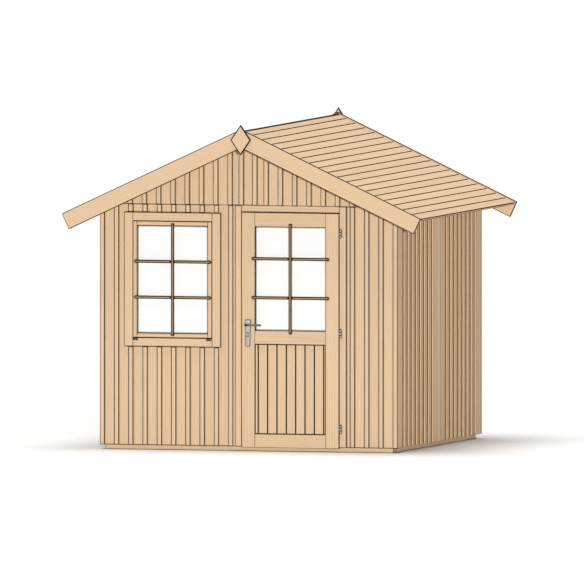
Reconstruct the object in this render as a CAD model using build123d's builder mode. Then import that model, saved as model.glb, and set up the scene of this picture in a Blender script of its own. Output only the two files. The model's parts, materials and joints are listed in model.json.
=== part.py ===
from build123d import *
import math
import os

os.makedirs("parts", exist_ok=True)

# A wooden garden shed, in millimetres: X across the front, front towards -Y, Z up from the ground.

# Walls
wall_width = 2320  # over the cover boards of the two sides
wall_depth = 2260  # over the boards of the front and the back
wall_height = 1869  # from the ground to the top of the boards at the eaves
board_thickness = 18
batten_width = 33
batten_thickness = 16
batten_pitch = 111.4  # from one batten of an end wall to the next, counted from the corners
middle_batten = 53  # from the middle of an end wall to the battens beside it
side_batten_count = 7  # battens on each panel of a side wall
cover_thickness = 17
cover_width = 130
cover_gap = 40  # bare strip between the two panels of a side wall
cladding_bottom = 34

# Base and framing
sill_width = 59
sill_height = 60
joist_width = 60
joist_count = 3
deck_thickness = 18
deck_clearance = 2
stud = 45
rafter_depth = 70
rafter_heel = 24  # height of a rafter's end where it meets the wall boards

# Roof
roof_pitch = 25
roof_thickness = 20
roof_reach = 1388  # from the ridge line to the edge of the roof boards
front_overhang = 210
back_overhang = 155
barge_width = 130
barge_thickness = 20
barge_rise = 12  # height of the bargeboard above the roof boards
barge_reach = 1402
finial_width = 161
finial_height = 235
finial_thickness = 20
finial_rise = 36  # height of the finial's tip above the bargeboards
gable_lap = 23  # overlap of the gable boards over the wall boards

# Window
window_inset = 223  # from the side wall to the sash
pier_width = 180  # wall boards between the sash and the door jamb
window_drop = 128  # from the lower edge of the gable down to the sash
window_height = 876
trim_width = 66
trim_thickness = 22
sash_width = 35
sash_thickness = 40
sash_setback = 6
pane_thickness = 6
pane_setback = 14  # from the front of the sash to the front of the pane

# Door
leaf_left = -50
leaf_width = 757
leaf_bottom = 28
leaf_thickness = 40
leaf_clearance = 5  # from the leaf back to the sill and the stops
door_gap = 6
stile_width = 102
top_rail_height = 107
rail_height = 103
panel_height = 674
panel_thickness = 20
panel_setback = 12
door_pane_setback = 28
jamb_width = 48
stop_width = 15
stop_depth = 22

# Hinges
hinge_radius = 8
hinge_pin_radius = 4
hinge_clearance = 0.05
hinge_offset = 15  # from the edge of the leaf to the hinge axis
hinge_relief = 2  # from the jamb to the knuckles in front of it
knuckle_length = 21
knuckle_gap = 0.3
knuckle_count = 3
strap_thickness = 6
hinge_top_drop = 151  # from the top of the leaf to the middle of the top hinge
hinge_bottom_rise = 145  # from the bottom of the leaf to the middle of the bottom hinge
hinge_middle_rise = 864  # from the bottom of the leaf to the middle of the middle hinge

# Lock and lever
plate_top_width = 41
plate_bottom_width = 31
plate_height = 198
plate_thickness = 6
plate_bottom_rise = 761  # from the bottom of the leaf to the bottom of the plate
lever_rise = 160  # from the bottom of the plate to the lever's axis
cylinder_rise = 88  # from the bottom of the plate to the lock cylinder
cylinder_radius = 8.5
cylinder_proud = 4
lever_inset = 50  # from the free edge of the leaf to the lever's axis
lever_reach = 113
lever_height = 15
lever_depth = 12
lever_standoff = 34  # from the plate to the back of the grip
lever_rounding = 5
neck_radius = 9
spindle_radius = 5
turning_clearance = 0.3

# Places that follow from the sizes
front_reach = wall_depth / 2 + front_overhang + finial_thickness
back_reach = wall_depth / 2 + back_overhang + finial_thickness
wall_shift = (front_reach - back_reach) / 2
front_face = wall_shift - wall_depth / 2
back_face = wall_shift + wall_depth / 2
front_inner = front_face + board_thickness
back_inner = back_face - board_thickness
front_frame = front_inner + stud
back_frame = back_inner - stud
side_outer = wall_width / 2
side_face = side_outer - cover_thickness
side_inner = side_face - board_thickness
side_frame = side_inner - stud
deck_top = sill_height + deck_thickness

slope = math.tan(math.radians(roof_pitch))
slope_cosine = math.cos(math.radians(roof_pitch))
slope_sine = math.sin(math.radians(roof_pitch))
ridge_under = wall_height + side_inner * slope
ridge_top = ridge_under + roof_thickness / slope_cosine
barge_top = ridge_top + barge_rise
gable_bottom = wall_height - gable_lap
plate_top = wall_height - rafter_heel
plate_bottom = plate_top - stud
roof_front = front_face - front_overhang + barge_thickness
roof_back = back_face + back_overhang - barge_thickness

leaf_right = leaf_left + leaf_width
leaf_top = plate_bottom - door_gap
jamb_front = front_face - batten_thickness
leaf_back = front_inner - leaf_clearance
leaf_front = leaf_back - leaf_thickness
opening_left = leaf_left - door_gap
opening_right = leaf_right + door_gap
jamb_left = opening_left - jamb_width
jamb_right = opening_right + jamb_width
stile_left = leaf_left + stile_width
stile_right = leaf_right - stile_width
bottom_rail_top = leaf_bottom + rail_height
middle_rail_bottom = bottom_rail_top + panel_height
middle_rail_top = middle_rail_bottom + rail_height
top_rail_bottom = leaf_top - top_rail_height

window_left = window_inset - side_inner
window_right = jamb_left - pier_width
window_top = gable_bottom - window_drop
window_bottom = window_top - window_height
trim_front = front_face - trim_thickness
sash_front = trim_front + sash_setback
sash_back = sash_front + sash_thickness
window_pane_front = sash_front + pane_setback

corner_batten = side_outer - batten_width / 2
half_row_count = round((corner_batten - middle_batten) / batten_pitch)
half_row = [corner_batten - step * batten_pitch for step in range(half_row_count)] + [middle_batten]
end_row = [(x - batten_width / 2, x + batten_width / 2) for place in half_row for x in (-place, place)]

hinge_x = leaf_right + hinge_offset
hinge_y = jamb_front - hinge_relief - hinge_radius
hinge_heights = (
    leaf_bottom + hinge_bottom_rise,
    leaf_bottom + hinge_middle_rise,
    leaf_top - hinge_top_drop,
)

lever_x = leaf_left + lever_inset
lock_bottom = leaf_bottom + plate_bottom_rise
lever_z = lock_bottom + lever_rise
plate_front = leaf_front - plate_thickness
plate_back = leaf_back + plate_thickness
grip_front = plate_front - lever_standoff - lever_depth
grip_back = plate_back + lever_standoff + lever_depth


def under_roof(x):
    """Height of the underside of the roof boards at a distance from the ridge line."""
    return ridge_under - abs(x) * slope


def keep(piece, label):
    """Name a finished piece and write it to a file of its own."""
    piece.part.label = label
    export_step(piece.part, f"parts/{label}.step")


def boards(label, *spans):
    """Square-cut boards, each between two values along X, Y and Z."""
    with BuildPart() as piece:
        for x, y, z in spans:
            with BuildSketch(Plane.XY.offset(z[0])):
                with Locations(((x[0] + x[1]) / 2, (y[0] + y[1]) / 2)):
                    Rectangle(x[1] - x[0], y[1] - y[0])
            extrude(amount=z[1] - z[0])
    keep(piece, label)


def cut_boards(label, outlines, *depths):
    """Boards with shaped outlines seen from the front, each outline between each two values along Y."""
    with BuildPart() as piece:
        for front, back in depths:
            for outline in outlines:
                with BuildSketch(Plane.XZ.offset(-back)):
                    with BuildLine():
                        Polyline(*outline, close=True)
                    make_face()
                extrude(amount=back - front)
    keep(piece, label)


def sided(side, points):
    """Outline points of one side of the shed, with side 1 to the right and -1 to the left."""
    return [(side * x, z) for x, z in points]


# Base: sills that carry the walls, and joists and deck between them
boards(
    "end_sills",
    ((-side_inner, side_inner), (front_inner, front_inner + sill_width), (0, sill_height)),
    ((-side_inner, side_inner), (back_inner - sill_width, back_inner), (0, sill_height)),
)
boards(
    "side_sills",
    *(
        (x, (front_inner + sill_width, back_inner - sill_width), (0, sill_height))
        for x in ((-side_inner, sill_width - side_inner), (side_inner - sill_width, side_inner))
    ),
)
joist_spacing = 2 * (side_inner - sill_width) / (joist_count + 1)
with BuildPart() as floor_joists:
    with BuildSketch():
        with Locations((0, wall_shift)):
            with GridLocations(joist_spacing, 0, joist_count, 1):
                Rectangle(joist_width, back_inner - front_inner - 2 * sill_width)
    extrude(amount=sill_height)
keep(floor_joists, "floor_joists")
boards(
    "floor_deck",
    (
        (deck_clearance - side_frame, side_frame - deck_clearance),
        (front_frame + deck_clearance, back_frame - deck_clearance),
        (sill_height, deck_top),
    ),
)

# Side and back walls, with cover boards and battens on the sides
wall_outline = (
    (side_inner, cladding_bottom),
    (side_face, cladding_bottom),
    (side_face, under_roof(side_face)),
    (side_inner, under_roof(side_inner)),
)
cover_outline = (
    (side_face, cladding_bottom),
    (side_outer, cladding_bottom),
    (side_outer, under_roof(side_outer)),
    (side_face, under_roof(side_face)),
)
panels = ((front_face, wall_shift - cover_gap / 2), (wall_shift + cover_gap / 2, back_face))
cover_rows = []
batten_rows = []
for panel_front, panel_back in panels:
    cover_rows += [(panel_front, panel_front + cover_width), (panel_back - cover_width, panel_back)]
    bare_width = panel_back - panel_front - 2 * cover_width - side_batten_count * batten_width
    side_pitch = bare_width / (side_batten_count + 1) + batten_width
    for step in range(side_batten_count):
        batten_back = panel_front + cover_width + (step + 1) * side_pitch
        batten_rows.append((batten_back - batten_width, batten_back))
for name, side in (("left", -1), ("right", 1)):
    cut_boards(f"{name}_wall", [sided(side, wall_outline)], (front_face, back_face))
    cut_boards(f"{name}_cover_boards", [sided(side, cover_outline)], *cover_rows)
cut_boards("side_battens", [sided(side, cover_outline) for side in (-1, 1)], *batten_rows)
boards(
    "back_wall",
    ((-side_inner, side_inner), (back_inner, back_face), (cladding_bottom, wall_height)),
)

# Front wall, left open at the window and the doorway
front_boards = (front_face, front_inner)
boards(
    "front_wall_left",
    ((-side_inner, window_left), front_boards, (cladding_bottom, wall_height)),
)
boards(
    "front_wall_below_window",
    ((window_left, window_right), front_boards, (cladding_bottom, window_bottom)),
)
boards(
    "front_wall_above_window",
    ((window_left, window_right), front_boards, (window_top, wall_height)),
)
boards(
    "front_wall_middle",
    ((window_right, jamb_left), front_boards, (cladding_bottom, wall_height)),
)
boards(
    "front_wall_over_door",
    ((jamb_left, jamb_right), front_boards, (gable_bottom, wall_height)),
)
boards(
    "front_wall_right",
    ((jamb_right, side_inner), front_boards, (cladding_bottom, wall_height)),
)

# Battens of the front and back walls, left out at the doorway and cut short at the window
back_batten_row = (back_face, back_face + batten_thickness)
end_battens = []
for left, right in end_row:
    end_battens.append(((left, right), back_batten_row, (cladding_bottom, gable_bottom)))
    if right > window_left - trim_width and left < window_right + trim_width:
        rises = [(cladding_bottom, window_bottom - trim_width), (window_top + trim_width, gable_bottom)]
    elif right > jamb_left and left < jamb_right:
        rises = []
    else:
        rises = [(cladding_bottom, gable_bottom)]
    end_battens += [((left, right), (jamb_front, front_face), rise) for rise in rises]
boards("end_battens", *end_battens)

# Gables, lapped over the tops of the front and back walls, with their battens
gable_outline = (
    (-side_outer, gable_bottom),
    (side_outer, gable_bottom),
    (side_outer, under_roof(side_outer)),
    (0, ridge_under),
    (-side_outer, under_roof(side_outer)),
)
gable_front = front_face - board_thickness
gable_back = back_face + board_thickness
cut_boards("front_gable", [gable_outline], (gable_front, front_face))
cut_boards("back_gable", [gable_outline], (back_face, gable_back))
cut_boards(
    "gable_battens",
    [
        ((left, gable_bottom), (right, gable_bottom), (right, under_roof(right)), (left, under_roof(left)))
        for left, right in end_row
        if max(-left, right) < side_inner
    ],
    (gable_front - batten_thickness, gable_front),
    (gable_back, gable_back + batten_thickness),
)

# Framing behind the boards: studs on the sills, plates on the studs, rafters on the plates
front_row = (front_inner, front_frame)
back_row = (back_frame, back_inner)
middle_row = (wall_shift - stud / 2, wall_shift + stud / 2)
stud_rise = (sill_height, plate_bottom)
boards(
    "wall_studs",
    *(
        (x, y, stud_rise)
        for x in ((-side_inner, -side_frame), (side_frame, side_inner))
        for y in (front_row, middle_row, back_row)
    ),
)
boards(
    "front_studs",
    ((window_left - stud, window_left), front_row, stud_rise),
    ((window_right, window_right + stud), front_row, stud_rise),
    ((opening_left - stud, opening_left), front_row, stud_rise),
    ((opening_right, opening_right + stud), front_row, stud_rise),
)
boards(
    "end_plates",
    ((-side_inner, side_inner), front_row, (plate_bottom, plate_top)),
    ((-side_inner, side_inner), back_row, (plate_bottom, plate_top)),
)
boards(
    "eave_plates",
    ((-side_inner, -side_frame), (front_frame, back_frame), (plate_bottom, plate_top)),
    ((side_frame, side_inner), (front_frame, back_frame), (plate_bottom, plate_top)),
)
rafter_drop = rafter_depth / slope_cosine
rafter_outline = (
    (0, ridge_under),
    (side_inner, under_roof(side_inner)),
    (side_inner, plate_top),
    ((ridge_under - rafter_drop - plate_top) / slope, plate_top),
    (0, ridge_under - rafter_drop),
)
for name, side in (("left", -1), ("right", 1)):
    cut_boards(f"{name}_rafters", [sided(side, rafter_outline)], front_row, middle_row, back_row)

# Roof boards, bargeboards at both ends, and a finial over each pair of bargeboards
roof_outline = (
    (0, ridge_top),
    (roof_reach, ridge_top - roof_reach * slope),
    (
        roof_reach - roof_thickness * slope_sine,
        ridge_top - roof_reach * slope - roof_thickness * slope_cosine,
    ),
    (0, ridge_under),
)
barge_outline = (
    (0, barge_top),
    (barge_reach, barge_top - barge_reach * slope),
    (
        barge_reach - barge_width * slope_sine,
        barge_top - barge_reach * slope - barge_width * slope_cosine,
    ),
    (0, barge_top - barge_width / slope_cosine),
)
barge_front = roof_front - barge_thickness
barge_back = roof_back + barge_thickness
for name, side in (("left", -1), ("right", 1)):
    cut_boards(f"roof_{name}", [sided(side, roof_outline)], (roof_front, roof_back))
    cut_boards(f"front_{name}_barge", [sided(side, barge_outline)], (barge_front, roof_front))
    cut_boards(f"back_{name}_barge", [sided(side, barge_outline)], (roof_back, barge_back))
finial_tip = barge_top + finial_rise
finial_outline = (
    (0, finial_tip),
    (finial_width / 2, finial_tip - finial_height / 2),
    (0, finial_tip - finial_height),
    (-finial_width / 2, finial_tip - finial_height / 2),
)
cut_boards("front_finial", [finial_outline], (barge_front - finial_thickness, barge_front))
cut_boards("back_finial", [finial_outline], (barge_back, barge_back + finial_thickness))

# Window: trim on the wall boards, and a glazed sash within it
trim_depth = (trim_front, front_face)
boards(
    "window_trim_sides",
    *(
        (x, trim_depth, (window_bottom - trim_width, window_top + trim_width))
        for x in ((window_left - trim_width, window_left), (window_right, window_right + trim_width))
    ),
)
boards(
    "window_trim_rails",
    ((window_left, window_right), trim_depth, (window_bottom - trim_width, window_bottom)),
    ((window_left, window_right), trim_depth, (window_top, window_top + trim_width)),
)
sash_depth = (sash_front, sash_back)
pane_left = window_left + sash_width
pane_right = window_right - sash_width
pane_bottom = window_bottom + sash_width
pane_top = window_top - sash_width
boards(
    "window_sash_stiles",
    ((window_left, pane_left), sash_depth, (window_bottom, window_top)),
    ((pane_right, window_right), sash_depth, (window_bottom, window_top)),
)
boards(
    "window_sash_rails",
    ((pane_left, pane_right), sash_depth, (window_bottom, pane_bottom)),
    ((pane_left, pane_right), sash_depth, (pane_top, window_top)),
)
boards(
    "window_pane",
    (
        (pane_left, pane_right),
        (window_pane_front, window_pane_front + pane_thickness),
        (pane_bottom, pane_top),
    ),
)

# Door frame: jambs and head in front of the studs, and stops behind the leaf
jamb_depth = (jamb_front, front_inner)
boards(
    "door_jambs",
    ((jamb_left, opening_left), jamb_depth, (cladding_bottom, gable_bottom)),
    ((opening_right, jamb_right), jamb_depth, (cladding_bottom, gable_bottom)),
)
boards("door_head", ((opening_left, opening_right), jamb_depth, (plate_bottom, gable_bottom)))
boards(
    "door_stops",
    *(
        (x, (front_inner, front_inner + stop_depth), (sill_height, plate_bottom))
        for x in ((opening_left, opening_left + stop_width), (opening_right - stop_width, opening_right))
    ),
)

# Door leaf: two stiles, three rails, a pane above and a boarded panel below
with BuildPart() as door_stiles:
    with BuildSketch(Plane.XY.offset(leaf_bottom)):
        with Locations(((leaf_left + leaf_right) / 2, (leaf_front + leaf_back) / 2)):
            with GridLocations(leaf_width - stile_width, 0, 2, 1):
                Rectangle(stile_width, leaf_thickness)
    extrude(amount=leaf_top - leaf_bottom)
    with BuildSketch(Plane.XZ.offset(-leaf_back)):
        with Locations((lever_x, lever_z)):
            Circle(spindle_radius + turning_clearance)
    extrude(amount=leaf_thickness, mode=Mode.SUBTRACT)
keep(door_stiles, "door_stiles")
leaf_inside = (stile_left, stile_right)
leaf_depth = (leaf_front, leaf_back)
boards(
    "door_rails",
    (leaf_inside, leaf_depth, (leaf_bottom, bottom_rail_top)),
    (leaf_inside, leaf_depth, (middle_rail_bottom, middle_rail_top)),
    (leaf_inside, leaf_depth, (top_rail_bottom, leaf_top)),
)
panel_front = leaf_front + panel_setback
boards(
    "door_panel",
    (leaf_inside, (panel_front, panel_front + panel_thickness), (bottom_rail_top, middle_rail_bottom)),
)
door_pane_front = leaf_front + door_pane_setback
boards(
    "door_pane",
    (leaf_inside, (door_pane_front, door_pane_front + pane_thickness), (middle_rail_top, top_rail_bottom)),
)

# Hinges: a middle knuckle on the leaf turns on a pin held by the two knuckles of the jamb
with BuildPart() as door_hinges:
    for height in hinge_heights:
        knuckle_bottom = height - knuckle_length / 2
        with BuildSketch(Plane.XY.offset(knuckle_bottom)):
            with Locations((hinge_x, hinge_y)):
                Circle(hinge_radius)
            with Locations(((leaf_right + hinge_x) / 2, hinge_y + strap_thickness / 2)):
                Rectangle(hinge_offset, strap_thickness)
            with Locations((hinge_x, hinge_y)):
                Circle(hinge_pin_radius + hinge_clearance, mode=Mode.SUBTRACT)
        extrude(amount=knuckle_length)
keep(door_hinges, "door_hinges")
hinge_length = knuckle_count * knuckle_length
outer_length = knuckle_length - knuckle_gap
jamb_strap = jamb_front - hinge_y
with BuildPart() as jamb_hinges:
    for height in hinge_heights:
        hinge_bottom = height - hinge_length / 2
        with BuildSketch(Plane.XY.offset(hinge_bottom)):
            with Locations((hinge_x, hinge_y)):
                Circle(hinge_pin_radius)
        extrude(amount=hinge_length)
        for knuckle_bottom in (hinge_bottom, hinge_bottom + hinge_length - outer_length):
            with BuildSketch(Plane.XY.offset(knuckle_bottom)):
                with Locations((hinge_x, hinge_y)):
                    Circle(hinge_radius)
                with Locations((hinge_x, hinge_y + jamb_strap / 2)):
                    Rectangle(strap_thickness, jamb_strap)
            extrude(amount=outer_length)
keep(jamb_hinges, "jamb_hinges")

# Lock: a tapered plate with a lock cylinder on each face of the leaf
with BuildPart() as lock_plates:
    for base, direction in ((leaf_front, -1), (leaf_back, 1)):
        with BuildSketch(Plane.XZ.offset(-base)):
            with BuildLine():
                Polyline(
                    (lever_x - plate_bottom_width / 2, lock_bottom),
                    (lever_x + plate_bottom_width / 2, lock_bottom),
                    (lever_x + plate_top_width / 2, lock_bottom + plate_height),
                    (lever_x - plate_top_width / 2, lock_bottom + plate_height),
                    close=True,
                )
            make_face()
            with Locations((lever_x, lever_z)):
                Circle(neck_radius + turning_clearance, mode=Mode.SUBTRACT)
        extrude(amount=-direction * plate_thickness)
        with BuildSketch(Plane.XZ.offset(-base)):
            with Locations((lever_x, lock_bottom + cylinder_rise)):
                Circle(cylinder_radius)
        extrude(amount=-direction * (plate_thickness + cylinder_proud))
keep(lock_plates, "lock_plates")

# Lever: a grip on each side of the leaf, joined by a spindle through the stile
with BuildPart() as door_lever:
    with BuildSketch(Plane.XZ.offset(-grip_back)):
        with Locations((lever_x, lever_z)):
            Circle(spindle_radius)
    extrude(amount=grip_back - grip_front)
    for neck_start, neck_end in (
        (grip_front, leaf_front - turning_clearance),
        (leaf_back + turning_clearance, grip_back),
    ):
        with BuildSketch(Plane.XZ.offset(-neck_end)):
            with Locations((lever_x, lever_z)):
                Circle(neck_radius)
        extrude(amount=neck_end - neck_start)
    for grip_start in (grip_front, grip_back - lever_depth):
        with BuildSketch(Plane.XZ.offset(-grip_start - lever_depth)):
            with Locations((lever_x + (lever_reach - neck_radius) / 2, lever_z)):
                RectangleRounded(lever_reach + neck_radius, lever_height, lever_rounding)
        extrude(amount=lever_depth)
keep(door_lever, "door_lever")
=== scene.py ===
"""Dress a wooden garden shed: boards, battens, glazing and fittings around its fixed frame."""

import json
import logging
import math
import random
from collections.abc import Callable
from dataclasses import dataclass
from enum import Enum
from functools import partial

import bmesh
import bpy
from bmesh.types import BMEdge, BMesh, BMLayerItem, BMVert
from bpy.types import ID, Material, Mesh, Node, NodeSocket, NodeTree, Object
from mathutils import Matrix, Vector

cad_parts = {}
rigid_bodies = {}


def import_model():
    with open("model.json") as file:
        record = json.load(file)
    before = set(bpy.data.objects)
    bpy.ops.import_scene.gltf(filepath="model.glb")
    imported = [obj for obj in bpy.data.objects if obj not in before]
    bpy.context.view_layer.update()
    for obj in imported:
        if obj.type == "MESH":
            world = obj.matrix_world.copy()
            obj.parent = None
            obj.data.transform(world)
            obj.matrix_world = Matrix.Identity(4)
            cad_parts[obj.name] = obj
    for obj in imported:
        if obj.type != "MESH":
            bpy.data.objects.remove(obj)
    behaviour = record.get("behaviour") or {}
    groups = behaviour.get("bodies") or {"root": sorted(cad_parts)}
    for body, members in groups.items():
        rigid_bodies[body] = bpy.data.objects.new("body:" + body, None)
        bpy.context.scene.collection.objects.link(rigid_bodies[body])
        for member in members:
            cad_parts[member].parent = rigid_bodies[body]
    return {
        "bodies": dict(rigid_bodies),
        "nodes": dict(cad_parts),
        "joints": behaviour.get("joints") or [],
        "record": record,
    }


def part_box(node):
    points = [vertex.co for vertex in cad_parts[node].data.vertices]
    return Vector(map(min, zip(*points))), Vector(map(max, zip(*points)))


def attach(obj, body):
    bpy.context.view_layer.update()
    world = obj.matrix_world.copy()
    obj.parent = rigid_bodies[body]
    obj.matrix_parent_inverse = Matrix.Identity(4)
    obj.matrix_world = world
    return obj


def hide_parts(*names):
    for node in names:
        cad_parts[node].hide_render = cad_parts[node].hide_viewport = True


LOG = logging.getLogger("shed")
SEED = 11
MM = 0.001
# Corners closer than this are one.
WELD = 0.01 * MM
# Digits that tell two heights in metres apart.
LEVEL_DIGITS = 5
# Farther off than any place on the shed.
FAR = 50.0
# Folds under the first angle are flat, and folds over the second are sharp.
FLAT_ANGLE = math.radians(0.5)
SHARP_ANGLE = math.radians(30)
# Cosine above which an edge runs along a timber, or a face looks towards +X.
FACING = 0.9
# Share of painted shade on what is fully darkened.
FULL_SHADE = 1.0
# Width taken off an edge, with the steps and the shape of its rounding.
EASE = 6 * MM
EASE_STEPS = 2
ROUND_PROFILE = 0.5
# Edges shorter than this many easings stay crisp, and slivers under this share of a board are left out.
SHORT_EDGE_SHARE = 3.0
SLIVER_SHARE = 0.02
# Names of what each corner or face tells its material.
GRAIN = "grain"
BOARD = "board"
EDGE = "edge"
PAINTED_SHADE = "damp"
# Distance that painted shade spreads from a corner.
SHADE_REACH = 7 * MM
SHADE_SAMPLES = 6
# Families of node types.
SHADER = "ShaderNode"
GEOMETRY = "GeometryNode"
GROUP = "NodeGroup"
# Places of a colour mix's two colours among its inputs, and of the mixed one among its outputs.
FIRST = 6
SECOND = 7
MIXED = 2
# Distance between the rings of a wave texture at a scale of 1.
WAVE_PERIOD = 0.1 * math.pi


class Body(Enum):
    """Rigid body that a piece rides on."""

    SHED = "shed"
    DOOR = "door"
    HANDLE = "handle"


class Slot(Enum):
    """Material slot of the record that a piece takes its finish from."""

    WOOD = "spruce"
    GLAZING = "glazing"
    STEEL = "satin_steel"


class Grain(Enum):
    """Way that a timber's grain runs: axes across, through and along it, or its side of the roof."""

    ACROSS = ((0, 0, 1), (0, 1, 0), (1, 0, 0))
    DEEP = ((1, 0, 0), (0, 0, 1), (0, 1, 0))
    UPRIGHT = ((1, 0, 0), (0, 1, 0), (0, 0, 1))
    LEFT_SLOPE = -1
    RIGHT_SLOPE = 1

    def axes(self, pitch: float) -> Matrix:
        """Give the rotation from the shed's axes to those of a timber.

        Args:
            pitch: Roof pitch in radians.

        Returns:
            A matrix whose rows point across, through and along the timber.
        """
        if isinstance(self.value, tuple):
            return Matrix(self.value)
        run = math.cos(pitch)
        drop = self.value * math.sin(pitch)
        return Matrix(((drop, 0, run), (0, 1, 0), (run, 0, -drop)))


def linear(hex_colour: str) -> tuple[float, float, float, float]:
    """Turn an sRGB hex colour into linear light.

    Args:
        hex_colour: Colour written as #RRGGBB.

    Returns:
        Linear red, green and blue, and an alpha of 1.
    """
    shares = [int(hex_colour[i : i + 2], 16) / 255 for i in (1, 3, 5)]
    red, green, blue = (s / 12.92 if s <= 0.04045 else ((s + 0.055) / 1.055) ** 2.4 for s in shares)
    return red, green, blue, 1.0


def add_node(
    tree: NodeTree, family: str, kind: str, inputs: dict[str | int, object] | None = None, **settings: object
) -> Node:
    """Add a node with its settings, its input values and its links.

    Args:
        tree: Node tree that takes the node.
        family: Start of the node's type name.
        kind: Rest of the node's type name.
        inputs: Socket name or index to a value, to an output, or to a node whose first output is meant.
        **settings: Values of the node's own properties.

    Returns:
        The new node.
    """
    node = tree.nodes.new(family + kind)
    for name, value in settings.items():
        setattr(node, name, value)
    for name, value in (inputs or {}).items():
        if isinstance(value, Node):
            value = value.outputs[0]
        if isinstance(value, NodeSocket):
            tree.links.new(value, node.inputs[name])
        else:
            node.inputs[name].default_value = value
    return node


def new_material(name: str) -> tuple[Material, Callable[..., Node]]:
    """Make a material with an empty node tree.

    Args:
        name: Name of the real material.

    Returns:
        The material, and a function that adds nodes to it.
    """
    material = bpy.data.materials.new(name)
    material.use_nodes = True
    material.node_tree.nodes.clear()
    return material, partial(add_node, material.node_tree, SHADER)


def place_object(name: str, data: ID) -> Object:
    """Put an object into the scene.

    Args:
        name: Name of the object.
        data: Its mesh, camera or light.

    Returns:
        The object, at the origin.
    """
    item = bpy.data.objects.new(name, data)
    bpy.context.scene.collection.objects.link(item)
    return item


@dataclass(frozen=True)
class PlanedSpruce:
    """Planed, untreated spruce: pale and warm, with faint rings and fibres, and painted shade in its corners
    and on its eased edges.
    """

    name: str = "planed_spruce"
    earlywood: str = "#E8CAA8"
    latewood: str = "#D9B78F"
    # Colour of the painted shade in corners and on eased edges.
    shade_tone: str = "#2B1A09"
    log_step: tuple[float, float, float] = (0.31, 0.47, 7.3)
    ring_mm: float = 16.0
    fibre_mm: float = 5.0
    fibre_length_mm: float = 420.0
    fibre_depth_mm: float = 0.5
    # Share of painted shade on the eased edges.
    edge_shade_share: float = 0.97
    sheen: float = 0.12
    tilt_deg: float = 1.4

    def build(self) -> Material:
        """Make the material.

        Returns:
            A material that reads each board's own grain.
        """
        material, add = new_material(self.name)
        grain = add("Attribute", attribute_name=GRAIN).outputs["Vector"]
        board = add("Attribute", attribute_name=BOARD).outputs["Fac"]
        # Every board is cut from its own place in the log.
        cut = {0: board, 1: self.log_step, 2: grain}
        place = add("VectorMath", cut, operation="MULTIPLY_ADD")
        # The log's axis leans a little, so that rings run out in long points along the board.
        lean = math.radians(self.tilt_deg)
        log = add("Mapping", {"Vector": place, "Rotation": (lean, lean / 2, 0.0)})
        stretch = (1.0, 1.0, self.fibre_mm / self.fibre_length_mm)
        squeezed = add("Mapping", {"Vector": log, "Scale": stretch})
        # Real rings are 2 to 4 mm apart, too fine to show, so they are drawn wider.
        wave = {"wave_type": "RINGS", "rings_direction": "Z", "wave_profile": "SIN"}
        ring_scale = WAVE_PERIOD / (self.ring_mm * MM)
        uneven = {"Distortion": 3.0, "Detail": 2.0, "Detail Scale": 1.2}
        rings = add("TexWave", {"Vector": squeezed, "Scale": ring_scale, **uneven}, **wave).outputs["Fac"]
        fibre_scale = 1 / (self.fibre_mm * MM)
        fibres = add("TexNoise", {"Vector": squeezed, "Scale": fibre_scale, "Detail": 4.0})
        late = add("MapRange", {"Value": rings, "From Min": 0.35, "To Max": 0.55})
        drawn = {"Value": fibres, "From Min": 0.3, "From Max": 0.7, "To Max": 0.4}
        streak = add("MapRange", drawn)
        figure = add("Math", {0: late, 1: streak}, operation="ADD", use_clamp=True)
        woods = {"Factor": figure, FIRST: linear(self.earlywood), SECOND: linear(self.latewood)}
        wood = add("Mix", woods, data_type="RGBA").outputs[MIXED]
        tone = add("MapRange", {"Value": board, "To Min": 0.96, "To Max": 1.03})
        toned = add("HueSaturation", {"Value": tone, "Color": wood})
        # Painted shade darkens the corners where boards meet, from ambient occlusion, and the eased edges.
        reach = add("Attribute", attribute_name=PAINTED_SHADE).outputs["Fac"]
        light = add("AmbientOcclusion", {"Distance": reach}, samples=SHADE_SAMPLES).outputs["AO"]
        opened = {"Value": light, "From Min": 0.45, "From Max": 0.97, "To Min": 1.4, "To Max": 0.0}
        corner_shade = add("MapRange", opened)
        edge = add("Attribute", attribute_name=EDGE).outputs["Fac"]
        edge_shade = add("Math", {0: edge, 1: self.edge_shade_share}, operation="MULTIPLY")
        damp = add("Math", {0: corner_shade, 1: edge_shade}, operation="MAXIMUM")
        shadings = {"Factor": damp, FIRST: toned, SECOND: linear(self.shade_tone)}
        with_shade = add("Mix", shadings, data_type="RGBA").outputs[MIXED]
        rough = add("MapRange", {"Value": fibres, "To Min": 0.58, "To Max": 0.78})
        relief = add("Bump", {"Strength": 0.25, "Distance": self.fibre_depth_mm * MM, "Height": fibres})
        sheen = add("MapRange", {"Value": damp, "To Min": self.sheen, "To Max": 0.0})
        look = {"Base Color": with_shade, "Roughness": rough, "Specular IOR Level": sheen, "Normal": relief}
        shader = add("BsdfPrincipled", look)
        add("OutputMaterial", {"Surface": shader})
        return material


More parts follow.
